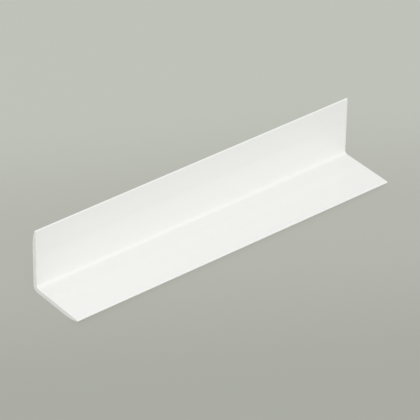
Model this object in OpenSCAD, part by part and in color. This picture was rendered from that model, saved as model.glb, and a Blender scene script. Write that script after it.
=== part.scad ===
// Equal-leg corner angle: one piece of white rigid PVC, extruded and cut square to length.
// It lies on its flat leg. X runs along the extrusion, the upright leg stands at the +Y side,
// and the inside corner is open upwards and towards -Y. The origin is in the middle of the
// length and of the flat leg's width, on the plane that the piece lies on.

/* [Stock] */
// Length that the piece is cut to
length = 217; // [40:1:3000]
// Width of the flat leg, from the square corner outside the heel to the tip
flat_leg = 40; // [30:1:100]
// Height of the upright leg, from the same corner to the tip
upright_leg = 40; // [30:1:100]
// Thickness of both legs
wall = 3; // [2:0.1:5]

/* [Corner] */
// Radius of the heel, the rounded outside corner
heel_r = 3.5; // [0.5:0.1:5]
// Radius of the root, the fillet in the inside corner
root_r = 2; // [0.5:0.1:5]

/* [Lips] */
// Length of the lip, over which a leg's outer face curves in towards the tip
lip_len = 11; // [6:0.5:18]
// Radius of the full-round nose at the tip, so that a lip ends twice as thick as this
nose_r = 0.5; // [0.2:0.05:0.8]

/* [Hidden] */
// Steps in which each small circle is drawn, a multiple of four, so that its arcs meet flats at a corner
$fn = 180;
// Radius of the lip's outer arc, which is tangent to the flat outer face and to the nose
lip_r = (pow(lip_len - nose_r, 2) + pow(wall - nose_r, 2) - pow(nose_r, 2)) / (2 * (wall - 2 * nose_r));
// Steps in which the lip's circle is drawn, each about a millimetre long, also a multiple of four
lip_steps = 4 * ceil(PI * lip_r / 2);

// The sliver between a square corner at the origin and the arc of radius r that rounds it
module corner_sliver(r) {
    difference() {
        square(r);
        translate([r, r]) circle(r = r);
    }
}

// Section of one leg along +X, with its outer face on the X axis and its inner face one wall up.
// The lip thins from the outer side only, so the inner face stays flat right up to the nose.
module leg_section(leg) {
    lip_centre = [leg - lip_len, lip_r];
    nose_centre = [leg - nose_r, wall - nose_r];
    // The lip's arc passes into the nose on the line through both centres, which crosses the X axis here
    crossing = lip_centre + (nose_centre - lip_centre) * lip_r / (lip_r - nose_centre.y);
    square([lip_centre.x, wall]);
    intersection() {
        polygon([[0, 0], crossing, nose_centre, [nose_centre.x, wall], [0, wall]]);
        translate(lip_centre) circle(r = lip_r, $fn = lip_steps);
    }
    translate(nose_centre) circle(r = nose_r);
}

// The whole section: flat leg along +X, upright leg along +Y, heel rounded and root filled
module section() {
    difference() {
        union() {
            leg_section(flat_leg);
            mirror([1, -1]) leg_section(upright_leg);
            translate([wall, wall]) corner_sliver(root_r);
        }
        corner_sliver(heel_r);
    }
}

// The piece of stock, with the section turned so that the flat leg runs from the heel to -Y
module corner_angle() {
    color("white")
        translate([0, flat_leg / 2, 0])
            rotate([90, 0, -90])
                linear_extrude(height = length, center = true)
                    section();
}

corner_angle();
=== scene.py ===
import math

import bmesh
import bpy
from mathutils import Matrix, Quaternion, Vector


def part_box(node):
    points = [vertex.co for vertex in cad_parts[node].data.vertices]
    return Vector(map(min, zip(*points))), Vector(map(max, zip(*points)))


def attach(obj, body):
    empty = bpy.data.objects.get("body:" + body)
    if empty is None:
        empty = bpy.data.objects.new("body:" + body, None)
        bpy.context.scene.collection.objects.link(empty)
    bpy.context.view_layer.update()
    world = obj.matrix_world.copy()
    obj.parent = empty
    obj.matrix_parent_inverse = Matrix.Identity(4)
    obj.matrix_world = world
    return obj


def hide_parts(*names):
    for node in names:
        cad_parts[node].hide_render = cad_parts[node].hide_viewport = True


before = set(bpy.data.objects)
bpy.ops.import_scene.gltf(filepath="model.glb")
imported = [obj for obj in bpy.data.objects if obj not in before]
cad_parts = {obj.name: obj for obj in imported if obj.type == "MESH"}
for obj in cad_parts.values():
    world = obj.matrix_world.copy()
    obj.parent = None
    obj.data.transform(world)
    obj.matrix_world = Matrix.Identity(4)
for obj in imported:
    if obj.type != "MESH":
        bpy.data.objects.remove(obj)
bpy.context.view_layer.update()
mm = 0.001  # sizes below are in millimetres, and Blender works in metres
mixShare, mixFrom, mixTo, mixed = 0, 6, 7, 2  # a colour mix node's three inputs and its output, by number


def colour(hexText):
    # sRGB hex to the linear colour that sockets take
    channels = [int(hexText[i:i + 2], 16) / 255 for i in (1, 3, 5)]
    linear = [c / 12.92 if c <= 0.04045 else ((c + 0.055) / 1.055) ** 2.4 for c in channels]
    return (*linear, 1.0)


def addNode(tree, kind, settings, inputs):
    # inputs takes values and other nodes' outputs alike
    node = tree.nodes.new(kind)
    for name, value in settings.items():
        setattr(node, name, value)
    for name, value in inputs.items():
        if isinstance(value, bpy.types.NodeSocket):
            tree.links.new(value, node.inputs[name])
        else:
            node.inputs[name].default_value = value
    return node


def newMaterial(name):
    material = bpy.data.materials.new(name)
    material.use_nodes = True
    material.node_tree.nodes.clear()
    return material, material.node_tree


def directView(tree):
    # 1 where the camera looks straight at something, or sees it mirrored or through glass
    rays = addNode(tree, "ShaderNodeLightPath", {}, {})
    seen = addNode(tree, "ShaderNodeMath", {"operation": "MAXIMUM"}, {
        0: rays.outputs["Is Camera Ray"], 1: rays.outputs["Is Glossy Ray"]})
    return addNode(tree, "ShaderNodeMath", {"operation": "MAXIMUM"}, {
        0: seen.outputs["Value"], 1: rays.outputs["Is Transmission Ray"]}).outputs["Value"]


def directionTo(azimuth, elevation):
    # both in degrees, with azimuth 0 towards -Y and 90 towards +X
    turn, rise = math.radians(azimuth), math.radians(elevation)
    return Vector((math.sin(turn) * math.cos(rise), -math.cos(turn) * math.cos(rise), math.sin(rise)))


def standFacing(thing, target, direction, distance):
    # a camera or lamp stands off from the target and looks back at it
    thing.location = target + direction * distance
    thing.rotation_mode = "QUATERNION"
    thing.rotation_quaternion = (-direction).to_track_quat("-Z", "Y")
    bpy.context.scene.collection.objects.link(thing)


# Skin of the angle: rigid PVC, extruded and drawn over cooled metal faces.
# To the eye: a clean white with a soft sheen, faint lines along the run and shallow hollows
pvcSkin = {
    "white": "#EDEDEB",
    "dull": "#EBEBE9",
    "flowWidth": 9,           # bands of tone and gloss, as the melt left the die
    "flowRun": 350,           # how far along the length a band holds
    "flowDetail": 1.0,
    "lineSpacing": 1.5,       # die lines are 0.1 to 1 mm apart, drawn coarser here so that they show
    "lineRun": 2500,          # they stay almost straight and parallel to the run
    "lineDetail": 3.0,
    "lineCrispness": 0.6,     # how strongly the finer lines show among the coarse ones
    "lineDepth": 0.01,
    "whiteBelow": 0.7,        # lines and bands add up to about 0.7 to 1.3, which turns white to dull
    "dullAbove": 1.3,
    "hollowSize": 17,         # hollows that cooling left, each a few hundredths of a millimetre deep
    "hollowDetail": 1.0,
    "hollowDepth": 0.09,
    "grainSize": 0.4,         # fine orange peel
    "grainDetail": 2.0,
    "grainDepth": 0.002,
    "smoothest": 0.31,        # under 0.28 the denoiser draws hairlines between the bands
    "roughest": 0.44,
    "ior": 1.54,
}


def makeExtrudedPvc(look):
    material, tree = newMaterial("whitePvcExtruded")
    place = addNode(tree, "ShaderNodeTexCoord", {}, {}).outputs["Object"]

    # lines and bands are noise drawn out along X, so that it changes mostly across a leg
    drawn = {}
    for name, width, run in (("lines", "lineSpacing", "lineRun"), ("flow", "flowWidth", "flowRun")):
        across, along = 1 / (look[width] * mm), 1 / (look[run] * mm)
        drawn[name] = addNode(tree, "ShaderNodeMapping", {}, {
            "Vector": place, "Scale": (along, across, across)}).outputs["Vector"]
    lines = addNode(tree, "ShaderNodeTexNoise", {}, {
        "Vector": drawn["lines"], "Scale": 1.0,
        "Detail": look["lineDetail"], "Roughness": look["lineCrispness"]})
    flow = addNode(tree, "ShaderNodeTexNoise", {}, {
        "Vector": drawn["flow"], "Scale": 1.0, "Detail": look["flowDetail"]})
    hollows = addNode(tree, "ShaderNodeTexNoise", {}, {
        "Vector": place, "Scale": 1 / (look["hollowSize"] * mm), "Detail": look["hollowDetail"]})
    grain = addNode(tree, "ShaderNodeTexNoise", {}, {
        "Vector": place, "Scale": 1 / (look["grainSize"] * mm), "Detail": look["grainDetail"]})

    streaks = addNode(tree, "ShaderNodeMath", {"operation": "ADD"}, {
        0: lines.outputs["Fac"], 1: flow.outputs["Fac"]})
    share = addNode(tree, "ShaderNodeMapRange", {}, {
        "Value": streaks.outputs["Value"],
        "From Min": look["whiteBelow"], "From Max": look["dullAbove"]})
    tone = addNode(tree, "ShaderNodeMix", {"data_type": "RGBA"}, {
        mixShare: share.outputs["Result"], mixFrom: colour(look["white"]), mixTo: colour(look["dull"])})
    sheen = addNode(tree, "ShaderNodeMapRange", {}, {
        "Value": share.outputs["Result"], "To Min": look["smoothest"], "To Max": look["roughest"]})

    hollowed = addNode(tree, "ShaderNodeBump", {}, {
        "Height": hollows.outputs["Fac"], "Distance": look["hollowDepth"] * mm})
    lined = addNode(tree, "ShaderNodeBump", {}, {
        "Height": lines.outputs["Fac"], "Distance": look["lineDepth"] * mm,
        "Normal": hollowed.outputs["Normal"]})
    grained = addNode(tree, "ShaderNodeBump", {}, {
        "Height": grain.outputs["Fac"], "Distance": look["grainDepth"] * mm,
        "Normal": lined.outputs["Normal"]})

    skin = addNode(tree, "ShaderNodeBsdfPrincipled", {}, {
        "Base Color": tone.outputs[mixed], "Roughness": sheen.outputs["Result"],
        "IOR": look["ior"], "Normal": grained.outputs["Normal"]})
    addNode(tree, "ShaderNodeOutputMaterial", {}, {"Surface": skin.outputs["BSDF"]})
    return material


# Cut ends: the same PVC, cross-cut with a fine-toothed circular saw.
# To the eye: matt and a shade duller than the skin, partly from the sawn face and partly painted shade on
# the end, with shallow arcs from the teeth whose grooves are painted darker as shade, and patches that
# the blade rubbed
pvcCut = {
    # a little below the skin's white: partly the matt sawn face, partly painted shade that darkens the
    # cut end
    "white": "#EAEAE7",
    # painted shade: the saw's grooves are coloured darker than the face between them
    "paintedGrooveShade": "#E2E2DE",
    "rubbed": "#ECECEA",
    "bladeCentre": (0, -70, -98),  # below and in front, so the arcs cross both legs
    "toothSpacing": 0.7,
    "toothDepth": 0.02,
    "wander": 1.5,            # how far the arcs stray from true circles
    "wanderDetail": 2.0,
    "wanderScale": 0.6,
    "patchSize": 4,
    "patchDetail": 2.0,
    "sawnBelow": 0.45,        # levels of the noise between which the sawn face turns to a rubbed patch
    "rubbedAbove": 0.65,
    "grainSize": 0.3,
    "grainDetail": 3.0,
    "grainDepth": 0.01,
    "matt": 0.65,
    "smeared": 0.4,
    "ior": 1.54,
}


def makeSawnPvc(look):
    material, tree = newMaterial("whitePvcSawn")
    place = addNode(tree, "ShaderNodeTexCoord", {}, {}).outputs["Object"]
    centre = [-c * mm for c in look["bladeCentre"]]
    aboutBlade = addNode(tree, "ShaderNodeMapping", {}, {"Vector": place, "Location": centre})
    # a ring of the wave texture repeats every pi / 10 of its scaled radius
    rings = math.pi / 10 / (look["toothSpacing"] * mm)
    arcs = addNode(tree, "ShaderNodeTexWave", {"wave_type": "RINGS", "rings_direction": "X"}, {
        "Vector": aboutBlade.outputs["Vector"], "Scale": rings, "Distortion": look["wander"],
        "Detail": look["wanderDetail"], "Detail Scale": look["wanderScale"]})
    patches = addNode(tree, "ShaderNodeTexNoise", {}, {
        "Vector": place, "Scale": 1 / (look["patchSize"] * mm), "Detail": look["patchDetail"]})
    grain = addNode(tree, "ShaderNodeTexNoise", {}, {
        "Vector": place, "Scale": 1 / (look["grainSize"] * mm), "Detail": look["grainDetail"]})

    rubbed = addNode(tree, "ShaderNodeMapRange", {}, {
        "Value": patches.outputs["Fac"],
        "From Min": look["sawnBelow"], "From Max": look["rubbedAbove"]})
    # painted shade in the saw arcs: where the arcs dip, the grooves take the darker colour
    shadedGrooves = addNode(tree, "ShaderNodeMix", {"data_type": "RGBA"}, {
        mixShare: arcs.outputs["Fac"], mixFrom: colour(look["paintedGrooveShade"]), mixTo: colour(look["white"])})
    tone = addNode(tree, "ShaderNodeMix", {"data_type": "RGBA"}, {
        mixShare: rubbed.outputs["Result"], mixFrom: shadedGrooves.outputs[mixed],
        mixTo: colour(look["rubbed"])})
    sheen = addNode(tree, "ShaderNodeMapRange", {}, {
        "Value": rubbed.outputs["Result"], "To Min": look["matt"], "To Max": look["smeared"]})
    arced = addNode(tree, "ShaderNodeBump", {}, {
        "Height": arcs.outputs["Fac"], "Distance": look["toothDepth"] * mm})
    grained = addNode(tree, "ShaderNodeBump", {}, {
        "Height": grain.outputs["Fac"], "Distance": look["grainDepth"] * mm,
        "Normal": arced.outputs["Normal"]})
    cut = addNode(tree, "ShaderNodeBsdfPrincipled", {}, {
        "Base Color": tone.outputs[mixed], "Roughness": sheen.outputs["Result"],
        "IOR": look["ior"], "Normal": grained.outputs["Normal"]})
    addNode(tree, "ShaderNodeOutputMaterial", {}, {"Surface": cut.outputs["BSDF"]})
    return material


# The angle itself: its section is drawn with a pen that goes straight or turns, then run along X.
# Its length and the width of its legs come from the frame, and the sizes here are the solid's own
angle = {
    "wall": 3.0,
    "heelRadius": 3.5,
    "rootRadius": 2.0,
    "lipLength": 11.0,
    "noseRadius": 0.5,
    "arris": 0.15,            # the saw's sharp edges, taken off with a knife
    "noseSteps": 12,
    "lipSteps": 12,
    "cornerSteps": 16,
    "arrisSteps": 3,
    "weldWithin": 0.001,      # closes the pen's chain where its last point meets its first
    "endFacing": 0.99,        # a face whose normal has this much of X in it belongs to a cut end
}


class Pen:
    # draws a chain of edges in a plane of constant X; a place is (across from the heel, up), in metres
    def __init__(self, mesh, x, heelY, start):
        self.mesh, self.x, self.heelY = mesh, x, heelY
        self.tip = mesh.verts.new(self.at(start))

    def at(self, place):
        return Vector((self.x, self.heelY - place[0], place[1]))

    def straight(self, place):
        grown = bmesh.ops.extrude_vert_indiv(self.mesh, verts=[self.tip])
        self.tip = grown["verts"][0]
        self.tip.co = self.at(place)

    def turn(self, centre, angleTurned, steps):
        grown = bmesh.ops.spin(
            self.mesh, geom=[self.tip], cent=self.at(centre), axis=(1, 0, 0),
            angle=angleTurned, steps=steps, use_merge=False, use_duplicate=False)
        self.tip = [g for g in grown["geom_last"] if isinstance(g, bmesh.types.BMVert)][0]


def buildAngle(shape, skin, cut):
    low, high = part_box("corner_angle")
    legAcross, legUp = high.y - low.y, high.z - low.z
    wall, heel, root, lip, nose = (
        shape[k] * mm for k in ("wall", "heelRadius", "rootRadius", "lipLength", "noseRadius"))
    # the lip's outer arc is tangent to the flat outer face and to the nose
    lipRadius = ((lip - nose) ** 2 + (wall - nose) ** 2 - nose ** 2) / (2 * (wall - 2 * nose))
    lipTurn = math.asin((lip - nose) / (lipRadius - nose))

    mesh = bmesh.new()
    rootEnd, inside = wall + root, wall - nose
    pen = Pen(mesh, low.x, high.y, (rootEnd, wall))
    pen.straight((legAcross - nose, wall))
    pen.turn((legAcross - nose, inside), math.pi - lipTurn, shape["noseSteps"])
    pen.turn((legAcross - lip, lipRadius), lipTurn, shape["lipSteps"])
    pen.straight((heel, 0))
    pen.turn((heel, heel), math.pi / 2, shape["cornerSteps"])
    pen.straight((0, legUp - lip))
    pen.turn((lipRadius, legUp - lip), lipTurn, shape["lipSteps"])
    pen.turn((inside, legUp - nose), math.pi - lipTurn, shape["noseSteps"])
    pen.straight((wall, rootEnd))
    pen.turn((rootEnd, rootEnd), -math.pi / 2, shape["cornerSteps"])
    bmesh.ops.remove_doubles(mesh, verts=mesh.verts, dist=shape["weldWithin"] * mm)
    section = bmesh.ops.contextual_create(mesh, geom=mesh.edges[:])["faces"]

    run = bmesh.ops.extrude_face_region(mesh, geom=section, use_keep_orig=True)
    farVerts = [g for g in run["geom"] if isinstance(g, bmesh.types.BMVert)]
    bmesh.ops.translate(mesh, verts=farVerts, vec=(high.x - low.x, 0, 0))
    bmesh.ops.recalc_face_normals(mesh, faces=mesh.faces)

    ends = [f for f in mesh.faces if abs(f.normal.x) > shape["endFacing"]]
    rims = {e for f in ends for e in f.edges}
    bmesh.ops.bevel(
        mesh, geom=list(rims), offset=shape["arris"] * mm, offset_type="OFFSET",
        segments=shape["arrisSteps"], profile=0.5, affect="EDGES", material=-1, clamp_overlap=True)
    for face in mesh.faces:
        face.smooth = True
        face.material_index = int(abs(face.normal.x) > shape["endFacing"])

    data = bpy.data.meshes.new("cornerAngle")
    mesh.to_mesh(data)
    mesh.free()
    data.materials.append(skin)
    data.materials.append(cut)
    piece = bpy.data.objects.new("cornerAngle", data)
    bpy.context.scene.collection.objects.link(piece)
    # at full weight, large flats keep their own direction and the narrow arcs blend into them
    weighted = piece.modifiers.new("flatFacesFirst", "WEIGHTED_NORMAL")
    weighted.weight = 100
    return piece


cornerAngle = buildAngle(angle, makeExtrudedPvc(pvcSkin), makeSawnPvc(pvcCut))
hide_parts("corner_angle")
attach(cornerAngle, "root")
print("angle built:", len(cornerAngle.data.polygons), "faces")


# Camera: a long lens at the photograph's angle
viewpoint = {
    "azimuth": -38.77,
    "elevation": 34.56,
    "roll": 0.86,
    "aim": (0.8, 5.7, 14.4),
    "distance": 1711,
    "lens": 266.7,
}


def addCamera(look):
    camera = bpy.data.objects.new("camera", bpy.data.cameras.new("camera"))
    camera.data.lens = look["lens"]
    direction = directionTo(look["azimuth"], look["elevation"])
    standFacing(camera, Vector(look["aim"]) * mm, direction, look["distance"] * mm)
    camera.rotation_quaternion @= Quaternion((0, 0, 1), math.radians(look["roll"]))
    bpy.context.scene.camera = camera


addCamera(viewpoint)


# Floor: a wide sheet of studio paper, which lightens slowly away from the camera.
# To the eye: matt pale grey with no edge, and only a breath of shadow under the part
backdropShade = "#BEC1B8"
floorLook = {
    "size": 6000,
    "drop": 0.05,             # below the part, so that no faces coincide
    "nearest": "#AAACA3",
    "middle": "#B5B6AE",
    "farthest": "#BFC2B9",
    "azimuth": 150,           # the way in which it lightens
    "reach": 140,             # from the middle shade to the other two
    "fadeFrom": 200,          # past this the paper passes into the backdrop, so no horizon shows
    "fadeTo": 500,
    "roughness": 0.9,
    "specular": 0.1,          # uncoated paper hardly shines
    "ownLight": 0.85,         # share that is seen unshaded, which keeps the shadow faint
}


def makePaper(look):
    material, tree = newMaterial("studioPaperMatt")
    place = addNode(tree, "ShaderNodeTexCoord", {}, {}).outputs["Object"]
    depth = addNode(tree, "ShaderNodeVectorMath", {"operation": "DOT_PRODUCT"}, {
        0: place, 1: directionTo(look["azimuth"], 0)})
    share = addNode(tree, "ShaderNodeMapRange", {}, {
        "Value": depth.outputs["Value"], "From Min": -look["reach"] * mm, "From Max": look["reach"] * mm})
    ramp = addNode(tree, "ShaderNodeValToRGB", {}, {"Fac": share.outputs["Result"]})
    ramp.color_ramp.interpolation = "EASE"
    ramp.color_ramp.elements[0].color = colour(look["nearest"])
    ramp.color_ramp.elements[1].color = colour(look["farthest"])
    ramp.color_ramp.elements.new(0.5).color = colour(look["middle"])
    spread = addNode(tree, "ShaderNodeVectorMath", {"operation": "LENGTH"}, {0: place})
    fade = addNode(tree, "ShaderNodeMapRange", {"interpolation_type": "SMOOTHSTEP"}, {
        "Value": spread.outputs["Value"],
        "From Min": look["fadeFrom"] * mm, "From Max": look["fadeTo"] * mm})
    shade = addNode(tree, "ShaderNodeMix", {"data_type": "RGBA"}, {
        mixShare: fade.outputs["Result"], mixFrom: ramp.outputs["Color"],
        mixTo: colour(backdropShade)}).outputs[mixed]

    lit = addNode(tree, "ShaderNodeBsdfPrincipled", {}, {
        "Base Color": shade, "Roughness": look["roughness"], "Specular IOR Level": look["specular"]})
    own = addNode(tree, "ShaderNodeEmission", {}, {"Color": shade})
    shown = addNode(tree, "ShaderNodeMath", {"operation": "MULTIPLY"}, {
        0: directView(tree), 1: look["ownLight"]})
    paper = addNode(tree, "ShaderNodeMixShader", {}, {
        0: shown.outputs["Value"], 1: lit.outputs["BSDF"], 2: own.outputs["Emission"]})
    addNode(tree, "ShaderNodeOutputMaterial", {}, {"Surface": paper.outputs["Shader"]})
    return material


def layFloor(look, paper):
    mesh = bmesh.new()
    bmesh.ops.create_grid(mesh, x_segments=1, y_segments=1, size=look["size"] / 2 * mm)
    bmesh.ops.translate(mesh, verts=mesh.verts, vec=(0, 0, -look["drop"] * mm))
    data = bpy.data.meshes.new("floor")
    mesh.to_mesh(data)
    mesh.free()
    data.materials.append(paper)
    floor = bpy.data.objects.new("floor", data)
    bpy.context.scene.collection.objects.link(floor)


layFloor(floorLook, makePaper(floorLook))
print("camera and floor placed")


# Light: one wide softbox behind the camera, and an even white sky
softbox = {
    "azimuth": -37,
    "elevation": 36,
    "distance": 3200,
    "size": 2700,
    "power": 46.8,
}
skyLook = {
    "light": "#FFFFFF",
    "strength": 0.845,
}


def addSoftbox(look):
    lamp = bpy.data.objects.new("softbox", bpy.data.lights.new("softbox", "AREA"))
    lamp.data.shape = "SQUARE"
    lamp.data.size = look["size"] * mm
    lamp.data.energy = look["power"]
    standFacing(lamp, Vector(), directionTo(look["azimuth"], look["elevation"]), look["distance"] * mm)


def addSky(look):
    world = bpy.data.worlds.new("sky")
    world.use_nodes = True
    tree = world.node_tree
    tree.nodes.clear()
    light = addNode(tree, "ShaderNodeBackground", {}, {
        "Color": colour(look["light"]), "Strength": look["strength"]})
    backdrop = addNode(tree, "ShaderNodeBackground", {}, {"Color": colour(backdropShade)})
    chosen = addNode(tree, "ShaderNodeMixShader", {}, {
        0: directView(tree), 1: light.outputs["Background"], 2: backdrop.outputs["Background"]})
    addNode(tree, "ShaderNodeOutputWorld", {}, {"Surface": chosen.outputs["Shader"]})
    bpy.context.scene.world = world


addSoftbox(softbox)
addSky(skyLook)
bpy.context.scene.view_settings.view_transform = "Standard"
print("softbox and sky set")
